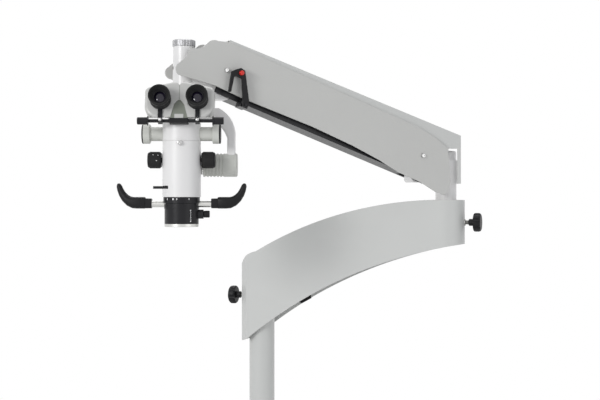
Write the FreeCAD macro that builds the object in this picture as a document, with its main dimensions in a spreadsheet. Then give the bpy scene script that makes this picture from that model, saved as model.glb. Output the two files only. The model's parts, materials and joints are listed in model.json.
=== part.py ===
import FreeCAD, Part

import math
import os
import re

import Sketcher

# Surgical microscope on a floor stand, in millimetres.
# Origin on the floor under the column, Z up, the user sits towards -Y.
SIZES = {
    # Floor stand
    "base_span": 680,
    "base_leg_width": 66,
    "base_leg_height": 44,
    "base_hub_radius": 84,
    "base_hub_height": 92,
    "base_height": 96,
    "castor_pad_radius": 33,
    "castor_wheel_radius": 37.5,
    "castor_wheel_width": 26,
    "castor_trail": 26,
    "fork_wall": 4,
    "axle_radius": 4,
    "stem_radius": 7,
    "column_radius": 30,
    "column_wall": 4,
    "column_top": 984,
    # Curved arm
    "arm_yaw": -17,
    "arm_reach": 445,
    "arm_half_width": 43,
    "arm_sheet": 3,
    "arm_left_end": 43,
    "arm_corner_height": 1029,
    "arm_left_top": 999,
    "arm_left_low": 814,
    "arm_right_top": 1150,
    "arm_right_low": 1050,
    "arm_top_curve": 880,
    "arm_low_curve": 1060,
    "bearing_wall": 7,
    "column_bearing_low": 872,
    "post_bearing_low": 1054,
    "grommet_length": 34,
    "grommet_width": 13,
    "grommet_reach": 96,
    "grommet_rise": 913,
    "grommet_slope": 29,
    "lock_boss_radius": 11,
    "lock_stud_radius": 4,
    "lock_knob_radius": 21.5,
    "lock_knob_thickness": 17,
    "lock_hub_radius": 8,
    "lock_hub_length": 11,
    "lock_stud_gap": 10,
    "column_lock_height": 922,
    "post_lock_height": 1099,
    # Balance arm
    "post_radius": 24,
    "balance_yaw": 202,
    "balance_pitch": 20.4,
    "post_to_pivot": 81,
    "pivot_height": 1249,
    "link_length": 492.9,
    "link_spacing": 45,
    "pivot_to_head": 80,
    "cover_half_width": 42,
    "cover_sheet": 4,
    "knuckle_half_width": 27,
    "knuckle_wall": 8,
    "pivot_pin_radius": 6,
    "channel_sheet": 3,
    "channel_gap": 1,
    "channel_top": 40,
    "spring_radius": 11,
    "spring_length": 210,
    "top_cover_sheet": 2,
    "top_cover_height": 64,
    "lower_bar_height": 14,
    "cover_screw_radius": 4.5,
    # Head post and bracket
    "sleeve_radius": 23.5,
    "sleeve_low": 1361.5,
    "sleeve_top": 1470.7,
    "head_shaft_radius": 14,
    "cap_height": 14,
    "bracket_width": 24,
    # Microscope body, placed from the head post
    "body_offset": 50,
    "body_radius": 39.5,
    "body_wall": 4,
    "body_low": 1156,
    "body_seam": 1270.5,
    "body_top": 1308,
    "tilt_height": 1223,
    "ring_low": 1143,
    "lens_radius": 35,
    "lens_low": 1095,
    "bore_radius": 31,
    "knob_height": 1232,
    "mag_knob_radius": 16.7,
    "mag_knob_length": 28,
    "port_height": 1285.5,
    "port_radius": 14.5,
    "port_flange_radius": 20,
    "handle_height": 1141.5,
    "focus_height": 1121,
    "filter_height": 1176,
    # Binocular head
    "binocular_half_width": 70,
    "pupil_distance": 75,
    "eyepiece_tilt": 15,
    "eyecup_radius": 21.5,
    "eyepiece_radius": 17,
    "pd_screw_radius": 3.5,
    # Clearances
    "running_gap": 0.05,
    "seat_gap": 0.3,
}

DOC = FreeCAD.newDocument("surgical_microscope")
SHEET = DOC.addObject("Spreadsheet::Sheet", "Sizes")
PARTS = []


def fill_sheet():
    for row, (name, value) in enumerate(SIZES.items(), 1):
        SHEET.set("A%d" % row, name)
        SHEET.set("B%d" % row, str(value))
        SHEET.setAlias("B%d" % row, name)
    DOC.recompute()


fill_sheet()


def bound(text):
    """The expression with each size name pointing at its cell."""
    def cell(match):
        return "Sizes." + match.group(0) if match.group(0) in SIZES else match.group(0)
    return re.sub(r"[a-z_]+", cell, text)


def size(text):
    """The number that an expression of size names gives."""
    return float(SHEET.evalExpression(bound(text)))


def placed(x, y, z, *turns):
    """A placement at a point, with turns given as (axis, degrees), first turn outermost."""
    rotation = FreeCAD.Rotation()
    for axis, angle in turns:
        rotation = rotation * FreeCAD.Rotation(FreeCAD.Vector(*axis), angle)
    return FreeCAD.Placement(FreeCAD.Vector(x, y, z), rotation)


def origin_plane(body, role):
    return next(item for item in body.Origin.OriginFeatures if item.Role == role)


def outline(body, name, plane, points):
    """A closed sketch through points of size expressions.

    A point is (x, y), or (x, y, radius) where an arc arrives at it: a positive radius
    turns left, a negative one turns right.
    """
    sketch = body.newObject("Sketcher::SketchObject", name)
    sketch.AttachmentSupport = [(origin_plane(body, plane), "")]
    sketch.MapMode = "FlatFace"
    spots = [FreeCAD.Vector(size(point[0]), size(point[1]), 0) for point in points]
    ends = []
    for index, point in enumerate(points):
        start, end = spots[index - 1], spots[index]
        if len(point) == 2:
            sketch.addGeometry(Part.LineSegment(start, end), False)
            ends.append((1, 2))
            continue
        radius = size(point[2])
        chord = end - start
        left = FreeCAD.Vector(-chord.y, chord.x, 0).normalize()
        rise = math.sqrt(max(radius ** 2 - (chord.Length / 2) ** 2, 0))
        centre = (start + end) * 0.5 + left * math.copysign(rise, radius)
        first, last = (start, end) if radius > 0 else (end, start)
        angles = [math.atan2(spot.y - centre.y, spot.x - centre.x) for spot in (first, last)]
        if angles[1] <= angles[0]:
            angles[1] += 2 * math.pi
        circle = Part.Circle(centre, FreeCAD.Vector(0, 0, 1), abs(radius))
        sketch.addGeometry(Part.ArcOfCircle(circle, *angles), False)
        ends.append((1, 2) if radius > 0 else (2, 1))
    count = len(points)
    for index, point in enumerate(points):
        after = (index + 1) % count
        sketch.addConstraint(Sketcher.Constraint(
            "Coincident", index, ends[index][1], after, ends[after][0]))
        for kind, text, value in (("DistanceX", point[0], spots[index].x),
                                  ("DistanceY", point[1], spots[index].y)):
            number = sketch.addConstraint(Sketcher.Constraint(
                kind, -1, 1, index, ends[index][1], value))
            sketch.setExpression("Constraints[%d]" % number, bound(text))
        if len(point) == 3:
            number = sketch.addConstraint(Sketcher.Constraint(
                "Radius", index, abs(size(point[2]))))
            sketch.setExpression("Constraints[%d]" % number, "abs(%s)" % bound(point[2]))
    return sketch


AXIS_X, AXIS_Y, AXIS_Z = (1, 0, 0), (0, 1, 0), (0, 0, 1)


def shifted(sketch, plane, offset):
    """Move a sketch along the plus direction of its plane's own axis."""
    text = bound(offset)
    sketch.setExpression("AttachmentOffset.Base.z", "-(%s)" % text if plane == "XZ_Plane" else text)


def new_body(label, place):
    body = DOC.addObject("PartDesign::Body", label)
    body.Label = label
    body.Placement = place
    PARTS.append(body)
    return body


def revolve(body, name, points):
    """A ring or disc turned about the body's Z from a half section of (radius, height)."""
    sketch = outline(body, name + "_section", "XZ_Plane", points)
    feature = body.newObject("PartDesign::Revolution", name)
    feature.Profile = sketch
    feature.ReferenceAxis = (sketch, ["V_Axis"])
    feature.Angle = 360
    return feature


def groove(body, name, points):
    """Material turned away about the body's Z."""
    sketch = outline(body, name + "_section", "XZ_Plane", points)
    feature = body.newObject("PartDesign::Groove", name)
    feature.Profile = sketch
    feature.ReferenceAxis = (sketch, ["V_Axis"])
    feature.Angle = 360
    return feature


def extrude(body, kind, name, sketch, length):
    feature = body.newObject(kind, name)
    feature.Profile = sketch
    feature.Midplane = True
    feature.setExpression("Length", bound(length))
    return feature


def pad(body, name, plane, points, length, offset="0"):
    """A profile grown by half the length to each side of its plane."""
    sketch = outline(body, name + "_profile", plane, points)
    shifted(sketch, plane, offset)
    return extrude(body, "PartDesign::Pad", name, sketch, length)


def pocket(body, name, plane, points, length, offset="0"):
    """A profile cut away by half the length to each side of its plane."""
    sketch = outline(body, name + "_profile", plane, points)
    shifted(sketch, plane, offset)
    return extrude(body, "PartDesign::Pocket", name, sketch, length)


def ring_sketch(body, name, plane, spots, radius, offset):
    """Circles of one radius at (x, y) spots of a plane."""
    sketch = body.newObject("Sketcher::SketchObject", name)
    sketch.AttachmentSupport = [(origin_plane(body, plane), "")]
    sketch.MapMode = "FlatFace"
    for index, (across, up) in enumerate(spots):
        centre = FreeCAD.Vector(size(across), size(up), 0)
        sketch.addGeometry(Part.Circle(centre, FreeCAD.Vector(0, 0, 1), size(radius)), False)
        for kind, text, value in (("DistanceX", across, centre.x), ("DistanceY", up, centre.y)):
            number = sketch.addConstraint(Sketcher.Constraint(kind, -1, 1, index, 3, value))
            sketch.setExpression("Constraints[%d]" % number, bound(text))
        number = sketch.addConstraint(Sketcher.Constraint("Radius", index, size(radius)))
        sketch.setExpression("Constraints[%d]" % number, bound(radius))
    shifted(sketch, plane, offset)
    return sketch


def rod(body, name, plane, spots, radius, length, offset="0"):
    sketch = ring_sketch(body, name + "_circle", plane, spots, radius, offset)
    return extrude(body, "PartDesign::Pad", name, sketch, length)


def hole(body, name, plane, spots, radius, length, offset="0"):
    sketch = ring_sketch(body, name + "_circle", plane, spots, radius, offset)
    return extrude(body, "PartDesign::Pocket", name, sketch, length)


def repeat(body, name, features, count):
    """Copies of features evenly round the body's Z."""
    pattern = body.newObject("PartDesign::PolarPattern", name)
    pattern.Originals = features
    pattern.Axis = (origin_plane(body, "Z_Axis"), [""])
    pattern.Angle = 360
    pattern.Occurrences = count
    body.Tip = pattern
    return pattern


def soften(body, name, radius, wanted):
    """Fillet the edges of the body that the test picks."""
    DOC.recompute()
    tip = body.Tip
    names = ["Edge%d" % number for number, edge in enumerate(tip.Shape.Edges, 1) if wanted(edge)]
    feature = body.newObject("PartDesign::Fillet", name)
    feature.Base = (tip, names)
    feature.setExpression("Radius", bound(radius))
    return feature


def runs_along(edge, axis):
    """Whether a straight edge lies along an axis."""
    if edge.Curve.TypeId != "Part::GeomLine":
        return False
    return abs(abs(edge.tangentAt(edge.FirstParameter).dot(FreeCAD.Vector(*axis))) - 1) < 1e-6


def turned(label, place, points):
    """A sub-part turned from one half section."""
    body = new_body(label, place)
    revolve(body, "turning", points)
    return body


# Floor stand: an X shaped cast base on four braked castors, and the column

CASTOR_SPOT = size("base_span / 2 - castor_pad_radius")
BASE_TOP = "base_height + base_leg_height"
COLUMN_SEAT = "base_height + 14"


def base_casting():
    body = new_body("base_casting", placed(0, 0, 0, (AXIS_Z, 45)))
    leg_end = "(base_span / 2 - castor_pad_radius) * sqrt(2)"
    leg = pad(body, "leg", "XZ_Plane", [
        ("0", "base_height"), (leg_end, "base_height"),
        (leg_end, "base_height + base_leg_height * 0.6"),
        ("base_hub_radius * 1.6", BASE_TOP), ("0", BASE_TOP)], "base_leg_width")
    foot = rod(body, "castor_pad", "XY_Plane", [(leg_end, "0")], "castor_pad_radius",
               "base_leg_height * 0.6", "base_height + base_leg_height * 0.3")
    repeat(body, "four_legs", [leg, foot], 4)
    revolve(body, "hub", [
        ("column_radius + running_gap", "base_height - 12"), ("base_hub_radius", "base_height - 12"),
        ("base_hub_radius", BASE_TOP), ("base_hub_radius - 18", BASE_TOP + " + 12"),
        ("column_radius + 14", BASE_TOP + " + 18"),
        ("column_radius + 12", "base_height + base_hub_height"),
        ("column_radius + running_gap", "base_height + base_hub_height")])
    socket = "(base_span / 2 - castor_pad_radius) * sqrt(2)"
    hole(body, "column_socket", "XY_Plane", [("0", "0")], "column_radius + running_gap",
         "base_hub_height", COLUMN_SEAT + " + base_hub_height / 2")
    hole(body, "stem_sockets", "XY_Plane",
         [(socket, "0"), ("-" + socket, "0"), ("0", socket), ("0", "-" + socket)],
         "stem_radius + running_gap", "44", "base_height")


def castor(number, across, along, braked):
    """A fork on its stem, a wheel on its axle and, if braked, a pedal, trailing to +Y."""
    place = placed(across, along, 0, (AXIS_Z, 90))
    slot = "castor_wheel_width + 4"
    width = "castor_wheel_width + 4 + 2 * fork_wall"
    top = "base_height - seat_gap"
    fork = new_body("castor_fork_%d" % number, place)
    pad(fork, "cheeks", "XZ_Plane", [
        ("-27", top), ("-27", "base_height - 8"),
        ("castor_trail - 11", "castor_wheel_radius - 8"),
        ("castor_trail + 11", "castor_wheel_radius - 8"),
        ("46", "base_height - 18"), ("46", top)], width)
    pocket(fork, "wheel_slot", "XZ_Plane", [
        ("-40", "0"), ("90", "0"), ("90", "base_height + 5"), ("28", "base_height + 5"),
        ("28", "base_height - 12"), ("-40", "base_height - 12")], slot)
    rod(fork, "stem", "XY_Plane", [("0", "0")], "stem_radius", "24", "base_height + 8")
    rod(fork, "axle", "XZ_Plane", [("castor_trail", "castor_wheel_radius")], "axle_radius",
        width + " + 4")
    rod(fork, "pedal_pin", "XZ_Plane", [("37", "base_height - 9")], "2.5", width)

    turned("castor_wheel_%d" % number, place * placed(
        size("castor_trail"), 0, size("castor_wheel_radius"), (AXIS_X, 90)), [
            ("axle_radius + running_gap", "-castor_wheel_width / 2"),
            ("axle_radius + 8", "-castor_wheel_width / 2"), ("axle_radius + 10", "-5"),
            ("castor_wheel_radius - 8", "-6"),
            ("castor_wheel_radius - 7", "3 - castor_wheel_width / 2"),
            ("castor_wheel_radius - 4", "3 - castor_wheel_width / 2"),
            ("castor_wheel_radius", "0", "castor_wheel_width"),
            ("castor_wheel_radius - 4", "castor_wheel_width / 2 - 3", "castor_wheel_width"),
            ("castor_wheel_radius - 7", "castor_wheel_width / 2 - 3"),
            ("castor_wheel_radius - 8", "6"), ("axle_radius + 10", "5"),
            ("axle_radius + 8", "castor_wheel_width / 2"),
            ("axle_radius + running_gap", "castor_wheel_width / 2")])
    if not braked:
        return
    pedal = new_body("brake_pedal_%d" % number, place)
    rod(pedal, "pedal_eye", "XZ_Plane", [("37", "base_height - 9")], "5.5", slot + " - 2 * seat_gap")
    pad(pedal, "tread", "XZ_Plane", [
        ("38", "base_height - 14"), ("64", "base_height - 11"), ("66", "base_height - 7"),
        ("62", "base_height - 6"), ("38", "base_height - 5")], slot + " - 2 * seat_gap")
    hole(pedal, "pin_hole", "XZ_Plane", [("37", "base_height - 9")], "2.5 + running_gap", "60")


def column_tube():
    inner = "column_radius - column_wall"
    turned("column_tube", placed(0, 0, 0), [
        (inner, COLUMN_SEAT), ("column_radius", COLUMN_SEAT),
        ("column_radius", "column_top"), (inner, "column_top")])


base_casting()
column_tube()
for castor_number, (side, depth) in enumerate(((1, 1), (-1, 1), (-1, -1), (1, -1)), 1):
    castor(castor_number, side * CASTOR_SPOT, depth * CASTOR_SPOT, depth > 0)


# Curved arm: one bent sheet shell, open underneath, on a bearing round the column

ARM = placed(0, 0, 0, (AXIS_Z, size("arm_yaw")))
INNER = "arm_half_width - arm_sheet"


def grommet_outline(clearance):
    """A long hexagon beside the far wall's lower edge, sloped as the edge is."""
    length = "(grommet_length / 2 + %s)" % clearance
    width = "(grommet_width / 2 + %s)" % clearance
    corners = [("-" + length, "0"), ("4 - " + length, "-" + width), (length + " - 4", "-" + width),
               (length, "0"), (length + " - 4", width), ("4 - " + length, width)]
    return [("grommet_reach + (%s) * cos(grommet_slope) - (%s) * sin(grommet_slope)" % corner,
             "grommet_rise + (%s) * sin(grommet_slope) + (%s) * cos(grommet_slope)" % corner)
            for corner in corners]


def arm_block(label, inset, drop):
    """The arm's outer form, drawn in by a sheet and dropped through its open underside."""
    body = DOC.addObject("PartDesign::Body", label)
    right = "arm_reach + arm_half_width - " + inset
    left = "-arm_left_end + " + inset
    half = "(arm_half_width - %s)" % inset
    pad(body, "side_view", "XZ_Plane", [
        (left, "arm_left_low - " + drop), (left + " + 22", "arm_left_low + 9 - " + drop),
        (right, "arm_right_low - " + drop, "-arm_low_curve"), (right, "arm_right_top - " + inset),
        ("arm_reach - 20", "arm_right_top + 0.6 - " + inset, "3000"),
        (left + " + 42", "arm_corner_height - " + inset, "arm_top_curve"),
        (left, "arm_left_top - " + inset, "60")], "2 * " + half)
    pocket(body, "round_end", "XY_Plane", [
        ("arm_reach", half + " + 5"), ("arm_reach", half), (right, "0", "-" + half),
        ("arm_reach", "-" + half, "-" + half), ("arm_reach", "-5 - " + half),
        (right + " + 5", "-5 - " + half), (right + " + 5", half + " + 5")], "4000")
    pocket(body, "bent_end", "XY_Plane", [
        (left + " + 18", half + " + 5"), (left + " - 5", half + " + 5"),
        (left + " - 5", "-5 - " + half), (left + " + 18", "-5 - " + half),
        (left + " + 18", "-" + half), (left, "20 - " + half),
        (left, half + " - 20"), (left + " + 18", half)], "4000")
    return body


def curved_arm_shell():
    outside = arm_block("arm_outside", "0", "0")
    hole(outside, "post_hole", "XY_Plane", [("arm_reach", "0")], "post_radius + 1", "60",
         "arm_right_top")
    hole(outside, "column_stud_hole", "YZ_Plane", [("0", "column_lock_height")],
         "lock_stud_radius + 0.5", "20", "-arm_left_end")
    hole(outside, "post_stud_hole", "YZ_Plane", [("0", "post_lock_height")],
         "lock_stud_radius + 0.5", "20", "arm_reach + arm_half_width")
    pocket(outside, "grommet_notch", "XZ_Plane", grommet_outline("running_gap"), "20",
           "arm_half_width")
    shell = DOC.addObject("Part::Cut", "curved_arm_shell")
    shell.Base = outside
    shell.Tool = arm_block("arm_inside", "arm_sheet", "60")
    shell.Placement = ARM
    PARTS.append(shell)


def bearing(label, centre, low, top, bore, floor_low, floor_top, lock_height, lock_side):
    """A cup shaped hub with a cross web to both side walls and a boss for the lock stud."""
    body = new_body(label, ARM * placed(size(centre), 0, 0))
    outer = bore + " + bearing_wall"
    revolve(body, "cup", [("0", low), (outer, low), (outer, top), ("0", top)])
    pad(body, "web", "XZ_Plane", [("-8", low), ("0", low), ("0", top), ("-8", top)],
        "2 * (%s)" % INNER)
    reach = "(sqrt((%s) ^ 2 - lock_boss_radius ^ 2) - running_gap)" % INNER
    rod(body, "lock_boss", "YZ_Plane", [("0", lock_height)], "lock_boss_radius", reach,
        "%s%s / 2" % (lock_side, reach))
    hole(body, "bore", "XY_Plane", [("0", "0")], bore + " + running_gap",
         "(%s) - (%s)" % (floor_top, floor_low), "((%s) + (%s)) / 2" % (floor_top, floor_low))
    hole(body, "stud_hole", "YZ_Plane", [("0", lock_height)], "lock_stud_radius + running_gap",
         reach + " + 20", "%s(%s / 2 + 10)" % (lock_side, reach))


def lock_knob(label, place, boss_reach, bore):
    """A lobed plastic head on a threaded stud whose tip stops just short of the shaft."""
    body = new_body(label, place)
    head_low = "lock_stud_gap + lock_hub_length"
    head_top = head_low + " + lock_knob_thickness"
    revolve(body, "stud_and_head", [
        ("0", "(%s) + seat_gap - (%s)" % (bore, boss_reach)),
        ("lock_stud_radius", "(%s) + seat_gap - (%s)" % (bore, boss_reach)),
        ("lock_stud_radius", "lock_stud_gap"), ("lock_hub_radius - 1", "lock_stud_gap"),
        ("lock_hub_radius", "lock_stud_gap + 1"), ("lock_hub_radius", head_low),
        ("lock_knob_radius - 3", head_low), ("lock_knob_radius", head_low + " + 4", "5"),
        ("lock_knob_radius", head_top + " - 5"), ("lock_knob_radius - 5", head_top, "6"),
        ("0", head_top)])
    notch = hole(body, "finger_notch", "XY_Plane", [("lock_knob_radius + 2", "0")], "5.5",
                 "lock_knob_thickness + 8", head_low + " + lock_knob_thickness / 2 + 4.1")
    repeat(body, "lobes", [notch], 7)


def arm_grommet():
    """A rubber cable edging let into the lower edge of the far wall."""
    body = new_body("arm_grommet", ARM)
    pad(body, "edging", "XZ_Plane", grommet_outline("0"), "arm_sheet + 4",
        "arm_half_width - arm_sheet / 2")


def curved_arm():
    curved_arm_shell()
    arm_grommet()
    bearing("column_bearing", "0", "column_bearing_low", "column_top + 8", "column_radius",
            "column_bearing_low - 5", "column_top + seat_gap", "column_lock_height", "-")
    bearing("post_bearing", "arm_reach", "post_bearing_low", "arm_right_top - arm_sheet - 4",
            "post_radius", "post_bearing_low + 6", "arm_right_top + 10", "post_lock_height", "")
    lock_knob("column_lock_knob", ARM * placed(
        -size("arm_left_end"), 0, size("column_lock_height"), (AXIS_Y, -90)),
        "arm_left_end", "column_radius")
    lock_knob("post_lock_knob", ARM * placed(
        size("arm_reach + arm_half_width"), 0, size("post_lock_height"), (AXIS_Y, 90)),
        "arm_half_width", "post_radius")


curved_arm()


# Balance arm: a parallelogram of a channel and a lower bar between two knuckles,
# dressed with a top cover and two side covers

BALANCE = ARM * placed(size("arm_reach"), 0, 0, (AXIS_Z, size("balance_yaw - arm_yaw")))
PITCH = (AXIS_Y, -size("balance_pitch"))
LINK = BALANCE * placed(size("post_to_pivot"), 0, size("pivot_height"), PITCH)
LOWER_LINK = BALANCE * placed(
    size("post_to_pivot"), 0, size("pivot_height - link_spacing"), PITCH)
PIVOT_LOW = "(pivot_height - link_spacing)"
LINK_RUN = "(link_length * cos(balance_pitch))"
LINK_RISE = "(link_length * sin(balance_pitch))"
FRONT_PIVOT = "(post_to_pivot + %s)" % LINK_RUN
HEAD_POST = "(post_to_pivot + pivot_to_head + %s)" % LINK_RUN
TONGUE = "(2 * (knuckle_half_width - knuckle_wall + 1))"
CHANNEL_INNER = "(knuckle_half_width + channel_gap)"
CHANNEL_OUTER = "(knuckle_half_width + channel_gap + channel_sheet)"
COVER_INNER = "(cover_half_width - cover_sheet)"
HOLE_RADIUS = "pivot_pin_radius + running_gap"


def along_link(along, up):
    """A point given along and square to the link, in the upright frame of the balance arm."""
    return ("post_to_pivot + (%s) * cos(balance_pitch) - (%s) * sin(balance_pitch)" % (along, up),
            "pivot_height + (%s) * sin(balance_pitch) + (%s) * cos(balance_pitch)" % (along, up))


def rear_knuckle():
    body = new_body("rear_knuckle", BALANCE)
    low = "post_bearing_low + 6 + seat_gap"
    head = "arm_right_top + 37"
    revolve(body, "post", [("0", low), ("post_radius", low), ("post_radius", head + " + 4"),
                           ("0", head + " + 4")])
    pad(body, "block", "XZ_Plane", [
        ("-20", head), ("50", head), ("50", "pivot_height - 4"), ("-20", "pivot_height - 9")],
        "2 * knuckle_half_width")
    pad(body, "tongue", "XZ_Plane", [
        ("40", head + " + 3"), ("post_to_pivot + 12", head + " + 3"),
        ("post_to_pivot + 16", head + " + 8"),
        ("post_to_pivot + 16", "pivot_height + 10"), ("post_to_pivot + 10", "pivot_height + 16"),
        ("post_to_pivot - 12", "pivot_height + 16"), ("40", "pivot_height - 6")], TONGUE)
    hole(body, "pin_holes", "XZ_Plane", [
        ("post_to_pivot", "pivot_height"), ("post_to_pivot", PIVOT_LOW)], HOLE_RADIUS, "80")
    soften(body, "block_corners", "6", lambda edge: runs_along(edge, AXIS_Z)
           and abs(edge.CenterOfMass.x + 20) < 0.1)


def front_knuckle():
    body = new_body("front_knuckle", BALANCE)
    low = PIVOT_LOW + " - 14 + " + LINK_RISE
    top = "pivot_height + 16 + " + LINK_RISE
    pad(body, "tongue", "XZ_Plane", [
        (FRONT_PIVOT + " - 10", low), (HEAD_POST, low), (HEAD_POST, top),
        (FRONT_PIVOT + " - 10", top), (FRONT_PIVOT + " - 16", top + " - 6"),
        (FRONT_PIVOT + " - 16", low + " + 6")], TONGUE)
    middle = "(sleeve_low + sleeve_top) / 2"
    length = "sleeve_top - sleeve_low"
    rod(body, "sleeve", "XY_Plane", [(HEAD_POST, "0")], "sleeve_radius", length, middle)
    hole(body, "sleeve_bore", "XY_Plane", [(HEAD_POST, "0")],
         "head_shaft_radius + running_gap", "200", middle)
    hole(body, "pin_holes", "XZ_Plane", [
        (FRONT_PIVOT, "pivot_height + " + LINK_RISE),
        (FRONT_PIVOT, PIVOT_LOW + " + " + LINK_RISE)], HOLE_RADIUS, "80")
    hole(body, "set_screw_hole", "YZ_Plane", [("0", "sleeve_top - 45")], "3.5 + running_gap",
         "20", HEAD_POST + " + sleeve_radius")


def link_channel():
    """A sheet channel, open below, with pin bosses that carry the side covers."""
    body = new_body("link_channel", LINK)
    pad(body, "outside", "XZ_Plane", [
        ("-14", "-8"), ("-8", "-14"), ("link_length + 8", "-14"), ("link_length + 14", "-8"),
        ("link_length + 14", "channel_top - 8"), ("link_length + 6", "channel_top"),
        ("-6", "channel_top"), ("-14", "channel_top - 8")], "2 * " + CHANNEL_OUTER)
    pocket(body, "inside", "XZ_Plane", [
        ("-30", "-30"), ("link_length + 30", "-30"),
        ("link_length + 30", "channel_top - channel_sheet"), ("-30", "channel_top - channel_sheet")],
        "2 * " + CHANNEL_INNER)
    boss = "(%s - %s)" % (COVER_INNER, CHANNEL_OUTER)
    for name, sign in (("front_bosses", ""), ("rear_bosses", "-")):
        rod(body, name, "XZ_Plane", [("0", "0"), ("link_length", "0")], "pivot_pin_radius + 3",
            boss, "%s(%s + %s) / 2" % (sign, CHANNEL_OUTER, COVER_INNER))
    hole(body, "pin_holes", "XZ_Plane", [("0", "0"), ("link_length", "0")], HOLE_RADIUS,
         "2 * " + CHANNEL_OUTER)
    hole(body, "screw_holes", "XZ_Plane", [("0", "0"), ("link_length", "0")],
         "cover_screw_radius - 1.5 + running_gap", "2 * cover_half_width")
    windows = [("link_length * %s" % share, "14") for share in ("0.3", "0.5", "0.7")]
    hole(body, "lightening_holes", "XZ_Plane", windows, "9", "2 * cover_half_width")


def pins(label, place, half_length, collar_radius):
    """Two pivot pins, each with a spacing collar to both sides of the knuckle's tongue."""
    body = new_body(label, place)
    body.AllowCompound = True
    spots = [("0", "0"), ("link_length", "0")]
    rod(body, "shafts", "XZ_Plane", spots, "pivot_pin_radius", "2 * (%s)" % half_length)
    if collar_radius:
        gap = "(%s - %s / 2 - 2 * seat_gap)" % (CHANNEL_INNER, TONGUE)
        for name, sign in (("front_collars", ""), ("rear_collars", "-")):
            rod(body, name, "XZ_Plane", spots, collar_radius, gap,
                "%s(%s + %s / 2) / 2" % (sign, CHANNEL_INNER, TONGUE))


def gas_spring():
    """The lifting spring between cross pins in the channel."""
    body = new_body("gas_spring", LINK)
    ends = [("50", "16"), ("link_length - 60", "16")]
    rod(body, "cross_pins", "XZ_Plane", ends[:1], "5", "2 * %s - 2 * running_gap" % CHANNEL_INNER)
    rod(body, "cylinder", "YZ_Plane", [("0", "16")], "spring_radius", "spring_length",
        "50 + spring_length / 2")
    rod(body, "piston_rod", "YZ_Plane", [("0", "16")], "5", "link_length - 40 - spring_length",
        "(spring_length - 20 + link_length - 60) / 2")
    rod(body, "far_pin", "XZ_Plane", ends[1:], "6", "2 * %s - 2 * running_gap" % CHANNEL_INNER)


def side_cover(label, sign):
    """A moulded cover plate: a straight bar that drops round the rear pivot and hooks up
    to a rounded nose beside the head post."""
    body = new_body(label, LINK)
    pad(body, "plate", "XZ_Plane", [
        ("-58", "-64.5"), ("-13", "-57"), ("43", "-56"), ("97", "-47.5"), ("168", "-41.5"),
        ("link_length * 0.55", "-38"), ("link_length - 55", "-41"), ("link_length + 15", "-39"),
        ("link_length + 73", "-46"), ("link_length + 90", "-48"),
        ("link_length + 103", "-30", "14"), ("link_length + 89.5", "-6"),
        ("link_length + 89", "14"), ("link_length + 58", "37", "-36"),
        ("link_length + 38", "50.5", "20"), ("link_length + 15", "58"), ("30", "56"),
        ("-20", "48"), ("-53", "39"), ("-85.5", "-29"), ("-87", "-53"), ("-77", "-64", "11")],
        "cover_sheet", "%s(cover_half_width - cover_sheet / 2)" % sign)
    hole(body, "screw_holes", "XZ_Plane", [("0", "0"), ("link_length", "0")],
         "cover_screw_radius - 1.5 + running_gap", "2 * cover_half_width + 10")


def cover_screws():
    body = new_body("cover_screws", LINK)
    body.AllowCompound = True
    spots = [("0", "0"), ("link_length", "0")]
    for side, sign in (("front", ""), ("rear", "-")):
        rod(body, side + "_stems", "XZ_Plane", spots, "cover_screw_radius - 1.5",
            "cover_half_width - %s" % CHANNEL_OUTER,
            "%s(cover_half_width + %s) / 2" % (sign, CHANNEL_OUTER))
        rod(body, side + "_heads", "XZ_Plane", spots, "cover_screw_radius", "2",
            "%s(cover_half_width + 1)" % sign)


def top_cover():
    """An inverted channel over the link, cut upright behind the rear post, with a window
    in both walls that shows the knuckle."""
    body = new_body("top_cover", BALANCE)
    outside = "2 * (%s - seat_gap)" % COVER_INNER
    front_top = along_link("link_length + 14", "top_cover_height")
    front_low = along_link("link_length + 14", "channel_top + 5")
    middle_low = along_link("0", "channel_top + 5")
    tail = "post_radius - 42"
    tail_low = "arm_right_top + 37"
    pad(body, "outside", "XZ_Plane", [
        (tail, tail_low), ("20", tail_low), ("22", "pivot_height + 15"), middle_low, front_low,
        front_top, (tail, "pivot_height + 20 + top_cover_height * 0.42")], outside)
    under = "top_cover_height - top_cover_sheet"
    pocket(body, "inside", "XZ_Plane", [
        (tail + " - 30", tail_low + " - 30"), ("post_to_pivot + 900", tail_low + " - 30"),
        along_link("link_length + 14 + 60", under),
        along_link("-140", under + " + 4.5")], outside + " - 2 * top_cover_sheet")
    pocket(body, "window", "XZ_Plane", [
        (tail + " + 9", tail_low + " - 5"), ("14", tail_low + " - 5"),
        ("14", "pivot_height + 17"), (tail + " + 9", "pivot_height + 17")], "2 * cover_half_width")


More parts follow.
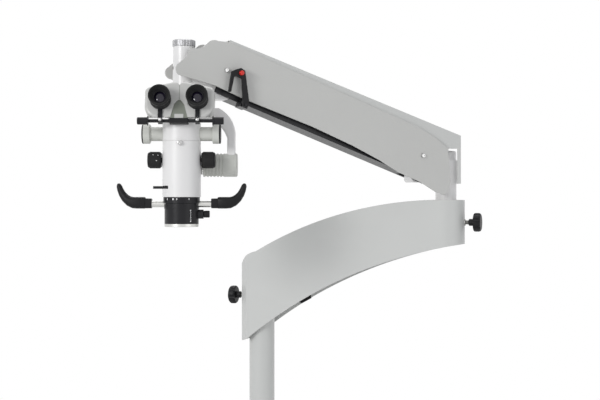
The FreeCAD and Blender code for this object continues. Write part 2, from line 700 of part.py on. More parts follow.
def lower_link():
    """The lower bar of the parallelogram, forked at both ends, with a lug for the lever."""
    body = new_body("lower_link", LOWER_LINK)
    half = "lower_bar_height / 2"
    pad(body, "bar", "XZ_Plane", [
        ("-12", "3 - " + half), ("-9", "-" + half), ("link_length + 13", "-" + half),
        ("link_length + 16", "3 - " + half), ("link_length + 16", half), ("-12", half)],
        "2 * (knuckle_half_width + 1)")
    pocket(body, "rear_fork", "XZ_Plane", [
        ("-30", "-30"), ("36", "-30"), ("36", "30"), ("-30", "30")], TONGUE + " + 2 * seat_gap")
    pocket(body, "front_fork", "XZ_Plane", [
        ("link_length - 36", "-30"), ("link_length + 30", "-30"), ("link_length + 30", "30"),
        ("link_length - 36", "30")], TONGUE + " + 2 * seat_gap")
    hole(body, "pin_holes", "XZ_Plane", [("0", "0"), ("link_length", "0")],
         HOLE_RADIUS, "80")
    lug = "(cover_half_width + 7.7)"
    pad(body, "lever_lug", "XZ_Plane", [
        ("link_length - 52", "-18"), ("link_length - 36", "-18"), ("link_length - 36", "1 - " + half),
        ("link_length - 52", "1 - " + half)], lug + " - 15", "(%s + 15) / 2" % lug)
    rod(body, "lever_pin", "XZ_Plane", [("link_length - 44", "-12.5")], "3", "11", lug + " + 4")


def lock_lever():
    """A stirrup of one thick and one thin leg under a head that holds a push button."""
    body = new_body("lock_lever", LOWER_LINK)
    middle = "cover_half_width + 12"
    start = "link_length - 44"
    pad(body, "stirrup", "XZ_Plane", [
        (start + " - 6", "-16"), (start + " + 5", "-18"), (start + " + 12", "4"),
        (start + " + 26", "36"), (start + " + 44", "36"), (start + " + 39", "1"),
        (start + " + 44", "0"), (start + " + 51", "36"), (start + " + 52", "42"),
        (start + " + 45", "49"), (start + " + 36", "56"), (start + " + 26", "54"),
        (start + " + 21", "45"), (start + " - 4", "-2")], "8", middle)
    hole(body, "pin_hole", "XZ_Plane", [(start, "-12.5")], "3 + running_gap", "30", middle)
    hole(body, "button_bore", "XZ_Plane", [(start + " + 32", "46")], "5 + running_gap", "30", middle)
    button = new_body("lock_button", LOWER_LINK)
    rod(button, "button", "XZ_Plane", [(start + " + 32", "46")], "5", "12",
        "cover_half_width + 8 + 7")


def balance_arm():
    rear_knuckle()
    front_knuckle()
    link_channel()
    pins("upper_pins", LINK, CHANNEL_OUTER, "pivot_pin_radius + 4")
    pins("lower_pins", LOWER_LINK, "knuckle_half_width + 1", "")
    gas_spring()
    top_cover()
    side_cover("front_cover", "")
    side_cover("rear_cover", "-")
    cover_screws()
    lower_link()
    lock_lever()


balance_arm()


# Head: the swivel shaft in the front knuckle and the bracket that carries the tilt joint

HEAD = FreeCAD.Placement(
    BALANCE.multVec(FreeCAD.Vector(size(HEAD_POST), 0, 0)), FreeCAD.Rotation())
MICROSCOPE = HEAD * placed(0, -size("body_offset"), 0)
SHAFT_LOW = "(tilt_height + 93)"
BRACKET_TOP = "(tilt_height + 119)"
BRACKET_OUT = "(body_radius + 68.5)"
HOUSING_START = "(body_radius + 1.5)"
HOUSING_RADIUS = "24.5"
TILT_SHAFT_RADIUS = "9"


def head_swivel():
    turned("head_shaft", HEAD, [
        ("0", SHAFT_LOW), ("head_shaft_radius", SHAFT_LOW), ("head_shaft_radius", BRACKET_TOP),
        ("head_shaft_radius + 5", BRACKET_TOP), ("head_shaft_radius + 5", "sleeve_low - seat_gap"),
        ("head_shaft_radius", "sleeve_low - seat_gap"), ("head_shaft_radius", "sleeve_top"),
        ("head_shaft_radius - 4", "sleeve_top"), ("head_shaft_radius - 4", "sleeve_top + 8"),
        ("0", "sleeve_top + 8")])
    cap = turned("knurled_cap", HEAD, [
        ("head_shaft_radius - 4 + running_gap", "sleeve_top + seat_gap"),
        ("sleeve_radius", "sleeve_top + seat_gap"), ("sleeve_radius + 0.5", "sleeve_top + 1"),
        ("sleeve_radius + 0.5", "sleeve_top + cap_height - 1.5"),
        ("sleeve_radius - 1.5", "sleeve_top + cap_height"), ("0", "sleeve_top + cap_height"),
        ("0", "sleeve_top + 8 + seat_gap"),
        ("head_shaft_radius - 4 + running_gap", "sleeve_top + 8 + seat_gap")])
    groove_cut = hole(cap, "knurl_groove", "XY_Plane", [("sleeve_radius + 1.6", "0")], "1.8",
                      "cap_height + 4", "sleeve_top + cap_height / 2")
    repeat(cap, "knurling", [groove_cut], 24)
    turned("set_screw", BALANCE * placed(size(HEAD_POST + " + sleeve_radius"), 0,
                                         size("sleeve_top - 45"), (AXIS_Y, 90)), [
        ("0", "-sleeve_radius + head_shaft_radius + 0.4"),
        ("3.5", "-sleeve_radius + head_shaft_radius + 0.4"), ("3.5", "0.6"), ("2.5", "1"),
        ("1.6", "1"), ("1.6", "-2"), ("0", "-2")])


def c_bracket():
    """A bar from under the head post, out past the body and down to the tilt housing."""
    body = new_body("c_bracket", HEAD)
    inner = BRACKET_OUT + " - 17"
    low = "tilt_height + 8"
    pad(body, "bar", "XZ_Plane", [
        ("0", SHAFT_LOW), (inner + " - 34", SHAFT_LOW), (inner, "tilt_height + 56", "-58"),
        (inner, low), (BRACKET_OUT, low), (BRACKET_OUT, "tilt_height + 62"),
        (inner + " - 18", BRACKET_TOP, "62"), ("0", BRACKET_TOP)], "bracket_width")
    rod(body, "boss", "XY_Plane", [("0", "0")], "head_shaft_radius + 8",
        "%s - %s" % (BRACKET_TOP, SHAFT_LOW), "(%s + %s) / 2" % (BRACKET_TOP, SHAFT_LOW))
    soften(body, "bar_edges", "4", lambda edge: abs(edge.CenterOfMass.y) > size("bracket_width")
           * 0.49 and edge.CenterOfMass.x > size("head_shaft_radius + 12")
           and edge.CenterOfMass.z > size("tilt_height + 9"))
    hole(body, "shaft_bore", "XY_Plane", [("0", "0")], "head_shaft_radius + running_gap",
         "60", BRACKET_TOP)
    hole(body, "housing_saddle", "YZ_Plane", [("0", "tilt_height")],
         HOUSING_RADIUS + " + running_gap", "400")


def ribbed_housing():
    """The tilt bearing: a ribbed barrel on the tilt axis, closed at its outer end."""
    section = [(TILT_SHAFT_RADIUS + " + running_gap", "0"), (HOUSING_RADIUS, "0")]
    for rib in range(6):
        start = "3.5 + %d * 7" % rib
        section += [(HOUSING_RADIUS, start), (HOUSING_RADIUS + " - 1.6", start + " + 0.8"),
                    (HOUSING_RADIUS + " - 1.6", start + " + 3"), (HOUSING_RADIUS, start + " + 3.8")]
    section += [(HOUSING_RADIUS, "69"), (HOUSING_RADIUS + " - 2", "71"), ("0", "71"), ("0", "62"),
                (TILT_SHAFT_RADIUS + " + running_gap", "62")]
    turned("ribbed_housing", HEAD * placed(size(HOUSING_START), 0, size("tilt_height"),
                                           (AXIS_Y, 90)), section)


head_swivel()
c_bracket()
ribbed_housing()


# Microscope body: tube, magnification drum, beam splitter, filter, handles and objective

BODY_INNER = "(body_radius - body_wall)"


def body_tube():
    body = new_body("body_tube", MICROSCOPE)
    revolve(body, "tube", [("0", "body_low"), ("body_radius", "body_low"),
                           ("body_radius", "body_seam"), ("0", "body_seam")])
    pad(body, "tilt_block", "XZ_Plane", [
        ("-22", "tilt_height - 20"), ("body_radius - 1.5", "tilt_height - 20"),
        ("body_radius - 1.5", "tilt_height + 20"), ("-22", "tilt_height + 20")],
        "44", "body_offset - 8")
    ledge = "(filter_height - 3.3)"
    groove(body, "inside", [
        ("0", ledge), (BODY_INNER, ledge), (BODY_INNER, "body_seam - body_wall"),
        ("0", "body_seam - body_wall")])
    groove(body, "light_path", [("0", "body_low - 1"), ("lens_radius - 4", "body_low - 1"),
                                ("lens_radius - 4", ledge + " + 1"), ("0", ledge + " + 1")])
    groove(body, "upper_light_path", [("0", "body_seam - 10"), ("14", "body_seam - 10"),
                                      ("14", "body_seam + 1"), ("0", "body_seam + 1")])
    hole(body, "drum_holes", "YZ_Plane", [("0", "knob_height")], "5 + running_gap", "100")
    rod(body, "tilt_shaft", "YZ_Plane", [("body_offset", "tilt_height")],
        TILT_SHAFT_RADIUS, "70", HOUSING_START + " + 26")
    hole(body, "seam_screw_hole", "XZ_Plane", [("0", "body_seam - 4.5")], "3 + running_gap", "10",
         "-body_radius")
    pocket(body, "filter_slot", "XY_Plane", [
        ("0", "4.5"), ("-52", "4.5"), ("-52", "-42"), ("-37", "-45"), ("0", "-4.5")], "6.4",
        "filter_height")


def mirrored_turning(body, points):
    """The same half section turned at both ends of the body's own Z."""
    body.AllowCompound = True
    revolve(body, "one_end", points)
    revolve(body, "other_end", [(radius, "-(%s)" % height) for radius, height in points[::-1]])


def magnification():
    across = MICROSCOPE * placed(0, 0, size("knob_height"), (AXIS_Y, 90))
    drum = new_body("magnification_drum", across)
    start = "body_radius + 1.5"
    end = start + " + mag_knob_length"
    revolve(drum, "shaft", [("0", "-(%s)" % end), ("5", "-(%s)" % end), ("5", end), ("0", end)])
    revolve(drum, "turret", [("0", "-24"), ("23", "-24"), ("24", "-23"), ("24", "23"),
                             ("23", "24"), ("0", "24")])
    hole(drum, "strong_pair", "YZ_Plane", [("0", "11"), ("0", "-11")], "7.5", "80")
    hole(drum, "weak_pair", "XZ_Plane", [("0", "11"), ("0", "-11")], "5.5", "80")
    mirrored_turning(drum, [
        ("0", start), ("mag_knob_radius - 2.5", start),
        ("mag_knob_radius - 0.6", start + " + 2.5"), ("mag_knob_radius", start + " + 10"),
        ("mag_knob_radius", start + " + 18"), ("mag_knob_radius - 0.8", end + " - 2"),
        ("mag_knob_radius - 2.5", end), ("0", end)])


def beam_splitter():
    body = new_body("beam_splitter", MICROSCOPE)
    revolve(body, "ring", [
        (BODY_INNER, "body_seam"), ("body_radius - 1", "body_seam"),
        ("body_radius", "body_seam + 1"), ("body_radius", "body_top"), ("20", "body_top"),
        ("20", "body_top - 4"), (BODY_INNER, "body_top - 4")])
    hole(body, "port_holes", "YZ_Plane", [("0", "port_height")], "port_radius + running_gap", "120")
    across = MICROSCOPE * placed(0, 0, size("port_height"), (AXIS_Y, 90))
    flange = "body_radius + 24.5"
    face = flange + " + 13.7"
    ports = new_body("splitter_ports", across)
    mirrored_turning(ports, [
        ("port_radius - 3", "body_radius - 4"), ("port_radius", "body_radius - 4"),
        ("port_radius", flange), ("port_flange_radius - 1", flange),
        ("port_flange_radius", flange + " + 1"), ("port_flange_radius", face),
        ("port_radius - 3", face)])
    caps = new_body("port_caps", across)
    mirrored_turning(caps, [
        ("0", face + " - 5"), ("port_radius - 3 - running_gap", face + " - 5"),
        ("port_radius - 3 - running_gap", face), ("port_flange_radius", face),
        ("port_flange_radius", face + " + 2"), ("port_flange_radius - 1", face + " + 2.8"),
        ("0", face + " + 2.8")])


def filter_disc():
    """A ring that turns on a ledge in the tube, with a flat lever through the slot."""
    body = new_body("filter_lever", MICROSCOPE)
    low, top = "filter_height - 3", "filter_height + 2.5"
    revolve(body, "disc", [("22", low), (BODY_INNER + " - seat_gap", low),
                           (BODY_INNER + " - seat_gap", top), ("22", top)])
    pad(body, "lever", "XY_Plane", [
        ("-30", "3"), ("-56", "3"), ("-58.6", "1", "3"), ("-58.6", "-1"), ("-56", "-3", "3"),
        ("-30", "-3")], "5.5", "filter_height - 0.25")


def seam_screw():
    turned("seam_screw", MICROSCOPE * placed(
        0, -size("body_radius"), size("body_seam - 4.5"), (AXIS_X, 90)), [
            ("0", "-3.6"), ("3", "-3.6"), ("3", "0.4"), ("4.5", "0.4"), ("5", "1"), ("5", "5.6"),
            ("4.2", "6.6"), ("0", "6.6")])


def handles():
    body = new_body("handle_ring", MICROSCOPE)
    low = "ring_low - 11"
    inner = "lens_radius - 4"
    revolve(body, "ring", [
        (inner, low), ("lens_radius + 0.8", low), ("lens_radius + 0.8", "ring_low"),
        ("body_radius - 2", "ring_low + 0.8"), ("body_radius - 2", "body_low"),
        (inner, "body_low")])
    hole(body, "rod_holes", "YZ_Plane", [("0", "handle_height")], "6.5 + running_gap", "120")
    rods = new_body("handle_rods", MICROSCOPE * placed(
        0, 0, size("handle_height"), (AXIS_Y, 90)))
    mirrored_turning(rods, [("0", inner + " + 0.5"), ("6.5", inner + " + 0.5"),
                            ("6.5", "body_radius + 32"), ("0", "body_radius + 32")])
    horn = (("10", "0", 0, "10"), ("14", "0", 0, "11.5"), ("34", "-0.5", 0, "11.5"),
            ("47", "3", 35, "9.5"), ("57", "14", 60, "7.5"), ("62", "28", 76, "6"),
            ("63.5", "38", 86, "5"), ("63.6", "41.5", 90, "2.4"))
    for side, sign in (("left", "-"), ("right", "")):
        grip = new_body("grip_" + side, MICROSCOPE * placed(
            size(sign + "(body_radius + 22.5)"), 0, size("handle_height")))
        loft(grip, "horn", [(sign + across, up, turn if sign else -turn, radius)
                            for across, up, turn, radius in horn])
        rod(grip, "socket", "YZ_Plane", [("0", "0")], "10", "14", sign + "7")
        hole(grip, "rod_bore", "YZ_Plane", [("0", "0")], "6.5 + running_gap", "19.6", sign + "0")


def loft(body, name, sections):
    """A round bar through circles given as (across, up, turn about Y, radius)."""
    rings = []
    for number, (across, up, turn, radius) in enumerate(sections):
        sketch = ring_sketch(body, "%s_ring_%d" % (name, number), "YZ_Plane", [("0", "0")],
                             radius, across)
        sketch.AttachmentOffset = FreeCAD.Placement(
            FreeCAD.Vector(0, size(up), size(across)),
            FreeCAD.Rotation(FreeCAD.Vector(1, 0, 0), turn))
        rings.append(sketch)
    feature = body.newObject("PartDesign::AdditiveLoft", name)
    feature.Profile = rings[0]
    feature.Sections = rings[1:]
    return feature


def objective():
    top = "ring_low - 11"
    ring = "lens_low + 6"
    inner = "lens_radius - 5"
    body = new_body("objective_housing", MICROSCOPE)
    revolve(body, "barrel", [("0", ring), ("lens_radius", ring), ("lens_radius", top), ("0", top)])
    rod(body, "focus_boss", "YZ_Plane", [("0", "focus_height")], "9.5", "20", "lens_radius")
    groove(body, "inside", [("0", ring + " - 1"), (inner, ring + " - 1"), (inner, top + " + 1"),
                            ("0", top + " + 1")])
    hole(body, "focus_hole", "YZ_Plane", [("0", "focus_height")], "3 + running_gap", "40",
         "lens_radius + 8")
    turned("objective_ring", MICROSCOPE, [
        ("bore_radius", "lens_low"), ("lens_radius - 0.6", "lens_low"),
        ("lens_radius", "lens_low + 0.6"), ("lens_radius", ring), ("bore_radius", ring)])
    rim = inner + " - running_gap"
    turned("objective_lens", MICROSCOPE, [
        ("0", "lens_low + 13"), ("25", "lens_low + 16"), ("26", "lens_low + 11.5"),
        (rim, "lens_low + 11.5"), (rim, "lens_low + 27"), ("26", "lens_low + 27"),
        ("25", "lens_low + 21"), ("0", "lens_low + 24")])
    turned("focus_knob", MICROSCOPE * placed(0, 0, size("focus_height"), (AXIS_Y, 90)), [
        ("0", "lens_radius - 4"), ("3", "lens_radius - 4"), ("3", "lens_radius + 10.3"),
        ("6.2", "lens_radius + 10.3"), ("7.2", "lens_radius + 11.3"), ("7.2", "lens_radius + 21.6"),
        ("6.2", "lens_radius + 22.6"), ("0", "lens_radius + 22.6")])


body_tube()
magnification()
beam_splitter()
filter_disc()
seam_screw()
handles()
objective()


# Binocular head: two eyepieces that slide apart on one screw, inclined on a cross pin

BINOCULAR = MICROSCOPE * placed(0, -50, size("body_top + 44"), (AXIS_X, -size("eyepiece_tilt")))
HALF_PUPILS = "(pupil_distance / 2)"
NECK_HALF = "24"
SCREW_SPOT = ("6.3", "-42.8")


def binocular_base():
    """The flange on the beam splitter and the neck that the head tilts on."""
    body = new_body("binocular_base", MICROSCOPE)
    revolve(body, "flange", [
        ("15", "body_top"), ("30", "body_top"), ("32", "body_top + 2"), ("32", "body_top + 4.5"),
        ("30", "body_top + 6"), ("15", "body_top + 6")])
    pad(body, "neck", "YZ_Plane", [
        ("-34", "body_top + 5"), ("-8", "body_top + 5"), ("-8", "body_top + 34"),
        ("-14", "body_top + 48"), ("-30", "body_top + 48"), ("-36", "body_top + 40"),
        ("-36", "body_top + 14")], "2 * " + NECK_HALF)
    hole(body, "pin_hole", "YZ_Plane", [("-22", "body_top + 37")], "4 + running_gap", "80")


def binocular_housing():
    """One moulded shell with a round shouldered lobe for each eyepiece."""
    body = new_body("binocular_housing", BINOCULAR)
    half = "binocular_half_width"
    pad(body, "lobes", "XZ_Plane", [
        ("-(%s - 27)" % half, "-39", "27"), (half + " - 27", "-39"), (half, "-12", "27"),
        (half, "18"), (half + " - 8.5", "28.7", "11"), ("12", "40"), ("-12", "40"),
        ("-(%s - 8.5)" % half, "28.7"), ("-" + half, "18", "11"), ("-" + half, "-12")],
        "34", "17")
    soften(body, "front_edge", "7", lambda edge: abs(edge.CenterOfMass.y) < 0.01)
    pocket(body, "lobe_valley", "XZ_Plane", [
        ("0", "32"), ("10", "42"), ("10", "50"), ("-10", "50"), ("-10", "42")], "90")
    pocket(body, "level_underside", "YZ_Plane", [
        ("-10", "-60"), ("45", "-60"), ("45", "-24.8"), ("-10", "-39.6")],
        "3 * %s" % half)
    pocket(body, "front_recess", "XZ_Plane", [
        ("-21", "-50"), ("21", "-50"), ("10", "-9"), ("3", "0"), ("-3", "0"), ("-10", "-9")],
        "6", "-0.5")
    pocket(body, "neck_room", "YZ_Plane", [
        ("6", "-60"), ("50", "-60"), ("50", "17"), ("12", "17"), ("6", "11")],
        "2 * (%s + seat_gap)" % NECK_HALF)
    for name, sign in (("right_slot", ""), ("left_slot", "-")):
        inner, outer = "(%s - 20.4)" % HALF_PUPILS, "(%s + 10.4)" % HALF_PUPILS
        spots = [(inner, "-10.4"), (outer, "-10.4"), (outer, "10.4"), (inner, "10.4")]
        pocket(body, name, "XZ_Plane", [(sign + across, up) for across, up in spots], "40")
    pad(body, "screw_block", "YZ_Plane", [
        ("0.3", "-48.5"), ("12.6", "-48.5"), ("12.6", "-30"), ("0.3", "-30")], "18")
    hole(body, "screw_bore", "YZ_Plane", [SCREW_SPOT], "pd_screw_radius + running_gap", "40")
    pin = BINOCULAR.inverse() * MICROSCOPE * placed(0, -22, size("body_top + 37"))
    room = "(%s + 13)" % NECK_HALF
    depth, level = str(round(pin.Base.y, 3)), str(round(pin.Base.z, 3))
    rod(body, "tilt_pin", "YZ_Plane", [(depth, level)], "4", "2 * " + room)


def pd_screw():
    body = new_body("pd_screw", BINOCULAR * placed(0, 6.3, -42.8, (AXIS_Y, 90)))
    shaft = "pd_screw_radius"
    revolve(body, "screw", [
        ("0", "-84"), ("6.5", "-84"), ("7.5", "-83"), ("7.5", "-63.5"), ("9.5", "-63.5"),
        ("9.5", "-61.5"), (shaft, "-61.5"), (shaft, "67.5"), ("9.5", "67.5"), ("9.5", "69.5"),
        ("7.5", "69.5"), ("7.5", "89"), ("6.5", "90"), ("0", "90")])


def eyepieces():
    for side, sign in (("left", "-"), ("right", "")):
        across = size(sign + HALF_PUPILS)
        outward = BINOCULAR * placed(across, 0, 0, (AXIS_X, 90))
        inside = "eyepiece_radius - 3"
        barrel = turned("barrel_" + side, outward, [
            ("8", "-11"), ("10", "-11"), ("10", "seat_gap"), ("20.5", "seat_gap"), ("20.5", "3"),
            ("eyepiece_radius + 2", "4"), ("eyepiece_radius", "7"), ("eyepiece_radius", "22"),
            (inside, "22"), (inside, "4"), ("8", "1")])
        pad(barrel, "screw_nut", "YZ_Plane", [
            ("-18", "seat_gap"), ("-38.4", "seat_gap"), ("-38.4", "-12"), ("-48", "-12"),
            ("-48", "3"), ("-18", "3")], "9")
        hole(barrel, "nut_bore", "YZ_Plane", [("-42.8", "-6.3")],
             "pd_screw_radius + running_gap", "20")
        turned("eyepiece_lens_" + side, outward, [
            ("0", "10"), (inside + " - running_gap", "10"), (inside + " - running_gap", "13"),
            ("7", "15.5"), ("0", "16")])
        turned("eyecup_" + side, outward, [
            ("eyepiece_radius + running_gap", "8"), ("eyecup_radius - 1", "8"),
            ("eyecup_radius", "9"), ("eyecup_radius", "22"), ("eyecup_radius + 0.8", "29"),
            ("eyecup_radius - 0.7", "31"), ("eyecup_radius - 2.5", "30"),
            ("eyecup_radius - 5", "24.5"), ("eyepiece_radius - 2", "23.5"),
            ("eyepiece_radius - 2", "22.3"), ("eyepiece_radius + running_gap", "22.3")])


binocular_base()
binocular_housing()
pd_screw()
eyepieces()


def write_parts():
    """Check every object, then write one file for each sub-part."""
    DOC.recompute()
    for item in DOC.Objects:
        if "Invalid" in item.State or "Error" in item.State:
            raise RuntimeError("%s is %s" % (item.Label, item.State))
    for part in PARTS:
        if part.Shape.isNull() or not part.Shape.isValid():
            raise RuntimeError("%s has no valid shape" % part.Label)
    os.makedirs("parts", exist_ok=True)
    for part in PARTS:
        part.Shape.exportStep("parts/%s.step" % part.Label)


write_parts()
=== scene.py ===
import json
import math

import bmesh
import bpy
from mathutils import Matrix, Vector


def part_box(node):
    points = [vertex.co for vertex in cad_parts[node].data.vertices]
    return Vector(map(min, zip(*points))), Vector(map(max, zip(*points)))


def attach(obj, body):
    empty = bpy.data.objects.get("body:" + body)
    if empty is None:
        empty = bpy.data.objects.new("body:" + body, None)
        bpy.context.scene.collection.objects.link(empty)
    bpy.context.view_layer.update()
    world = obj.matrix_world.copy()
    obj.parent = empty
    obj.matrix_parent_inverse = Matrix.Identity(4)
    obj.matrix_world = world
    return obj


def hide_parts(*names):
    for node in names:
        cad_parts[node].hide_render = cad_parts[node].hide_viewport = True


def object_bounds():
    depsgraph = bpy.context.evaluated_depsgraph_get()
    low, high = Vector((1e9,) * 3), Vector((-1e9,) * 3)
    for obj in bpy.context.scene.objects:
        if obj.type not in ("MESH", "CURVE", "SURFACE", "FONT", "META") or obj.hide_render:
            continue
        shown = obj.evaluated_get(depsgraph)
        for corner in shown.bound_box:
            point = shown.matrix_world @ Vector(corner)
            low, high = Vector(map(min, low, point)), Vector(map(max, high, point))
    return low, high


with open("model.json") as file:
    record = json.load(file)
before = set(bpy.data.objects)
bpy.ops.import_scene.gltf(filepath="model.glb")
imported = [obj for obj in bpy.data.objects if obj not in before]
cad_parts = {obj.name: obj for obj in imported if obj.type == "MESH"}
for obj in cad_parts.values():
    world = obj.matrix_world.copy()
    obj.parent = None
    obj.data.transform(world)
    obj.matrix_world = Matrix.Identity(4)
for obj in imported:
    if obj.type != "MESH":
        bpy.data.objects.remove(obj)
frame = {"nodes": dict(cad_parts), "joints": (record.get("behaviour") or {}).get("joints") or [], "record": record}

CAD_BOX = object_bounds()
MM = 0.001
SCENE = bpy.context.scene
QUARTER_TURN = math.pi / 2


# Camera, floor and light: places in metres, powers in watts

CAMERA_PLACE = (0.0912, -2.880, 1.150)
CAMERA_LENS = 72
SENSOR_WIDTH = 36
FLOOR_SIZE = 7
FLOOR_COLOUR = (0.9, 0.9, 0.89, 1)
SKY_COLOUR = (0.93, 0.95, 0.98, 1)
SKY_STRENGTH = 0.55
SHADOW_FADE = {"From Min": 0.7, "From Max": 2.6, "To Min": 0.6, "To Max": 1.0}
SOFTBOX_RATIO = 0.8
LIGHTS = (
    ("key", (-1.9, -2.7, 1.9), (0.0, -0.3, 1.2), 1.0, 36),
    ("fill", (2.4, -2.4, 1.5), (0.1, -0.2, 1.1), 2.0, 8),
    ("top", (0.2, 0.3, 3.3), (0.1, -0.2, 1.0), 1.6, 18),
    ("rim", (-0.6, 2.4, 1.9), (0.0, -0.2, 1.1), 1.6, 14),
)


def link(obj):
    SCENE.collection.objects.link(obj)
    return obj


def make_camera():
    data = bpy.data.cameras.new("camera")
    data.lens = CAMERA_LENS
    data.sensor_width = SENSOR_WIDTH
    camera = link(bpy.data.objects.new("camera", data))
    camera.location = CAMERA_PLACE
    camera.rotation_euler = (QUARTER_TURN, 0, 0)
    SCENE.camera = camera


def softbox(name, place, target, width, power):
    data = bpy.data.lights.new(name, "AREA")
    data.shape = "RECTANGLE"
    data.size = width
    data.size_y = width * SOFTBOX_RATIO
    data.energy = power
    lamp = link(bpy.data.objects.new(name, data))
    lamp.location = place
    aim = Vector(target) - Vector(place)
    lamp.rotation_euler = aim.to_track_quat("-Z", "Y").to_euler()


def feed(links, socket, value):
    """Join another node's output to a socket, or set a constant on it."""
    if isinstance(value, bpy.types.NodeSocket):
        links.new(value, socket)
    else:
        socket.default_value = value


def calculate(nodes, links, operation, *values):
    node = nodes.new("ShaderNodeMath")
    node.operation = operation
    for socket, value in zip(node.inputs, values):
        feed(links, socket, value)
    return node.outputs[0]


def white_to_camera(nodes, links, lit, white):
    """Mix a lit shader with plain white, where camera, glossy and transmission rays see it."""
    path = nodes.new("ShaderNodeLightPath").outputs
    seen = calculate(nodes, links, "MAXIMUM", path["Is Camera Ray"], path["Is Glossy Ray"])
    seen = calculate(nodes, links, "MAXIMUM", seen, path["Is Transmission Ray"])
    glow = nodes.new("ShaderNodeEmission")
    glow.inputs["Color"].default_value = (1, 1, 1, 1)
    glow.inputs["Strength"].default_value = 1
    mix = nodes.new("ShaderNodeMixShader")
    feed(links, mix.inputs[0], calculate(nodes, links, "MULTIPLY", seen, white))
    links.new(lit, mix.inputs[1])
    links.new(glow.outputs[0], mix.inputs[2])
    return mix.outputs[0]


def make_floor():
    """A pale floor that keeps a soft shadow near the part and fades to white further out."""
    mesh = bpy.data.meshes.new("floor")
    half = FLOOR_SIZE / 2
    mesh.from_pydata([(-half, -half, 0), (half, -half, 0), (half, half, 0), (-half, half, 0)],
                     [], [(0, 1, 2, 3)])
    floor = link(bpy.data.objects.new("floor", mesh))
    floor.location.z = CAD_BOX[0].z
    material = bpy.data.materials.new("floor")
    material.use_nodes = True
    nodes, links = material.node_tree.nodes, material.node_tree.links
    shader = nodes["Principled BSDF"]
    shader.inputs["Base Color"].default_value = FLOOR_COLOUR
    shader.inputs["Roughness"].default_value = 0.8
    reach = nodes.new("ShaderNodeVectorMath")
    reach.operation = "LENGTH"
    links.new(nodes.new("ShaderNodeTexCoord").outputs["Object"], reach.inputs[0])
    fade = nodes.new("ShaderNodeMapRange")
    fade.interpolation_type = "SMOOTHSTEP"
    for name, value in SHADOW_FADE.items():
        fade.inputs[name].default_value = value
    links.new(reach.outputs["Value"], fade.inputs["Value"])
    out = white_to_camera(nodes, links, shader.outputs[0], fade.outputs[0])
    links.new(out, nodes["Material Output"].inputs["Surface"])
    mesh.materials.append(material)


def make_world():
    world = bpy.data.worlds.new("world")
    SCENE.world = world
    world.use_nodes = True
    nodes, links = world.node_tree.nodes, world.node_tree.links
    sky = nodes["Background"]
    sky.inputs["Color"].default_value = SKY_COLOUR
    sky.inputs["Strength"].default_value = SKY_STRENGTH
    out = white_to_camera(nodes, links, sky.outputs[0], 1.0)
    links.new(out, nodes["World Output"].inputs["Surface"])


make_camera()
make_floor()
make_world()
for light in LIGHTS:
    softbox(*light)
SCENE.view_settings.view_transform = "Standard"


# Materials: every one has its own tone changes by noise, and all but the glass a fine bump

class Shade:
    """A Principled material under construction, with short calls for its nodes."""

    def __init__(self, name, colour, roughness, metallic=0.0):
        self.material = bpy.data.materials.new(name)
        self.material.use_nodes = True
        self.nodes = self.material.node_tree.nodes
        self.links = self.material.node_tree.links
        self.shader = self.nodes["Principled BSDF"]
        self.shader.inputs["Metallic"].default_value = metallic
        self.shader.inputs["Roughness"].default_value = roughness
        self.place = self.nodes.new("ShaderNodeTexCoord").outputs["Object"]
        self.colour = (*colour, 1)
        self.roughness = roughness
        self.bump = None

    def noise(self, scale, detail, stretch=(1, 1, 1)):
        mapping = self.nodes.new("ShaderNodeMapping")
        mapping.inputs["Scale"].default_value = stretch
        self.links.new(self.place, mapping.inputs["Vector"])
        texture = self.nodes.new("ShaderNodeTexNoise")
        texture.inputs["Scale"].default_value = scale
        texture.inputs["Detail"].default_value = detail
        self.links.new(mapping.outputs[0], texture.inputs["Vector"])
        return texture.outputs["Fac"]

    def tint(self, noise, low, high, amount, colour):
        """Move the colour towards another where a noise rises from low to high."""
        ramp = self.nodes.new("ShaderNodeMapRange")
        ramp.inputs["From Min"].default_value = low
        ramp.inputs["From Max"].default_value = high
        ramp.inputs["To Min"].default_value = 0
        ramp.inputs["To Max"].default_value = amount
        self.links.new(noise, ramp.inputs["Value"])
        mix = self.nodes.new("ShaderNodeMix")
        mix.data_type = "RGBA"
        share, first, second = mix.inputs[0], mix.inputs[6], mix.inputs[7]
        self.links.new(ramp.outputs[0], share)
        feed(self.links, first, self.colour)
        second.default_value = (*colour, 1)
        self.colour = mix.outputs[2]

    def vary_roughness(self, noise, spread):
        self.roughness = calculate(self.nodes, self.links, "MULTIPLY_ADD", noise, spread,
                                   self.roughness)

    def raise_bump(self, height, strength, distance):
        node = self.nodes.new("ShaderNodeBump")
        node.inputs["Strength"].default_value = strength
        node.inputs["Distance"].default_value = distance
        self.links.new(height, node.inputs["Height"])
        self.bump = node.outputs[0]

    def done(self, **values):
        """Join what was worked out to the shader and set its other inputs by name."""
        feed(self.links, self.shader.inputs["Base Color"], self.colour)
        feed(self.links, self.shader.inputs["Roughness"], self.roughness)
        if self.bump:
            self.links.new(self.bump, self.shader.inputs["Normal"])
        for name, value in values.items():
            self.shader.inputs[name.replace("_", " ")].default_value = value
        return self.material


def paint(name, colour, roughness, peel=0.12):
    """Baked paint: faint orange peel and a slow drift of the tone."""
    shade = Shade(name, colour, roughness)
    shade.tint(shade.noise(5, 3), 0.35, 0.7, 0.35, [part * 0.93 for part in colour])
    shade.vary_roughness(shade.noise(60, 4), 0.12)
    shade.raise_bump(shade.noise(900, 2), peel, 0.0002)
    return shade.done(Coat_Weight=0.25, Coat_Roughness=0.2)


